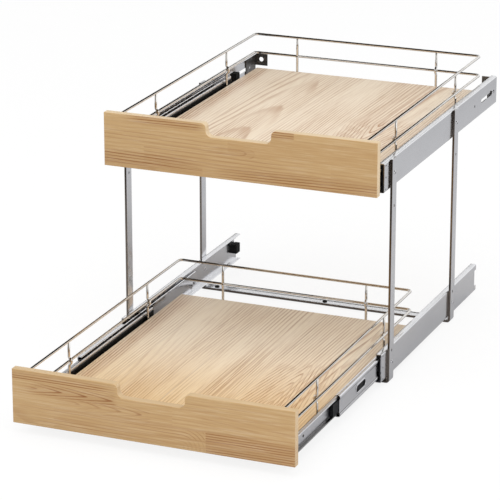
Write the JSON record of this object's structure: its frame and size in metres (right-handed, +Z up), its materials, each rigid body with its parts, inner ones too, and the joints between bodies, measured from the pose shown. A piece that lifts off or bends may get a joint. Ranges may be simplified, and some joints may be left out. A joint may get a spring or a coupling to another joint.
{
  "type": "two-tier pull-out cabinet organizer",
  "caption": "Cabinet organizer with wooden trays, wire galleries and wooden fronts that pull out on ball-bearing slides in a frame of bent steel hoops.",
  "frame": {"origin": "centre of the four corner floor-screw holes, on the plane of the hoops' undersides", "axes": "+X to the right seen from the front, +Y into the cabinet, +Z up"},
  "size_m": [0.4398, 0.904, 0.3969],
  "materials": {
    "plated_steel": "bright zinc plating",
    "dark_steel": "dark satin",
    "black_screw": "black oxide",
    "ball_steel": "polished",
    "cage_steel": "satin",
    "wire": "bright chrome plating",
    "board_wood": "clear lacquer",
    "panel_wood": "clear lacquer",
    "black_plastic": "matt",
    "stop_rubber": "matt"
  },
  "bodies": {
    "frame": {"front_hoop": "plated_steel", "rear_hoop": "plated_steel", "lower_left_rail": "plated_steel", "lower_right_rail": "plated_steel", "upper_left_rail": "plated_steel", "upper_right_rail": "plated_steel", "rail_rivets": "plated_steel", "floor_screws": "black_screw", "front_bumpers": "black_plastic", "rear_stops": "stop_rubber", "left_back_bracket": "dark_steel", "right_back_bracket": "dark_steel", "bracket_screws": "plated_steel"},
    "lower_tray": {"lower_left_inner_slide": "plated_steel", "lower_right_inner_slide": "plated_steel", "lower_tray_board": "board_wood", "lower_front_panel": "panel_wood", "lower_panel_dowels": "panel_wood", "lower_left_board_angle": "plated_steel", "lower_right_board_angle": "plated_steel", "lower_slide_screws": "plated_steel", "lower_board_screws": "plated_steel", "lower_top_wire": "wire", "lower_mid_wires": "wire", "lower_wire_legs": "wire"},
    "lower_mid_slides": {"lower_left_mid_slide": "plated_steel", "lower_right_mid_slide": "plated_steel"},
    "lower_outer_cages": {"lower_outer_cages": "cage_steel", "lower_outer_balls": "ball_steel"},
    "lower_inner_cages": {"lower_inner_cages": "black_plastic", "lower_inner_balls": "ball_steel"},
    "upper_tray": {"upper_left_inner_slide": "plated_steel", "upper_right_inner_slide": "plated_steel", "upper_tray_board": "board_wood", "upper_front_panel": "panel_wood", "upper_panel_dowels": "panel_wood", "upper_left_board_angle": "plated_steel", "upper_right_board_angle": "plated_steel", "upper_slide_screws": "plated_steel", "upper_board_screws": "plated_steel", "upper_top_wire": "wire", "upper_mid_wires": "wire", "upper_wire_legs": "wire"},
    "upper_mid_slides": {"upper_left_mid_slide": "plated_steel", "upper_right_mid_slide": "plated_steel"},
    "upper_outer_cages": {"upper_outer_cages": "cage_steel", "upper_outer_balls": "ball_steel"},
    "upper_inner_cages": {"upper_inner_cages": "black_plastic", "upper_inner_balls": "ball_steel"}
  },
  "joints": [
    {"name": "lower_tray_slide", "type": "slide", "parent": "frame", "child": "lower_tray", "axis": [0, -1, 0], "range_m": [-0.348, 0.108]},
    {"name": "lower_mid_slide", "type": "slide", "parent": "frame", "child": "lower_mid_slides", "axis": [0, -1, 0], "range_m": [-0.174, 0.054]},
    {"name": "lower_outer_cage_roll", "type": "slide", "parent": "frame", "child": "lower_outer_cages", "axis": [0, -1, 0], "range_m": [-0.087, 0.027]},
    {"name": "lower_inner_cage_roll", "type": "slide", "parent": "frame", "child": "lower_inner_cages", "axis": [0, -1, 0], "range_m": [-0.261, 0.081]},
    {"name": "upper_tray_slide", "type": "slide", "parent": "frame", "child": "upper_tray", "axis": [0, -1, 0], "range_m": [-0.028, 0.428]},
    {"name": "upper_mid_slide", "type": "slide", "parent": "frame", "child": "upper_mid_slides", "axis": [0, -1, 0], "range_m": [-0.014, 0.214]},
    {"name": "upper_outer_cage_roll", "type": "slide", "parent": "frame", "child": "upper_outer_cages", "axis": [0, -1, 0], "range_m": [-0.007, 0.107]},
    {"name": "upper_inner_cage_roll", "type": "slide", "parent": "frame", "child": "upper_inner_cages", "axis": [0, -1, 0], "range_m": [-0.021, 0.321]}
  ],
  "couplings": [
    {"joint": "lower_mid_slide", "follows": "lower_tray_slide", "ratio": 0.5},
    {"joint": "lower_outer_cage_roll", "follows": "lower_tray_slide", "ratio": 0.25},
    {"joint": "lower_inner_cage_roll", "follows": "lower_tray_slide", "ratio": 0.75},
    {"joint": "upper_mid_slide", "follows": "upper_tray_slide", "ratio": 0.5},
    {"joint": "upper_outer_cage_roll", "follows": "upper_tray_slide", "ratio": 0.25},
    {"joint": "upper_inner_cage_roll", "follows": "upper_tray_slide", "ratio": 0.75}
  ]
}
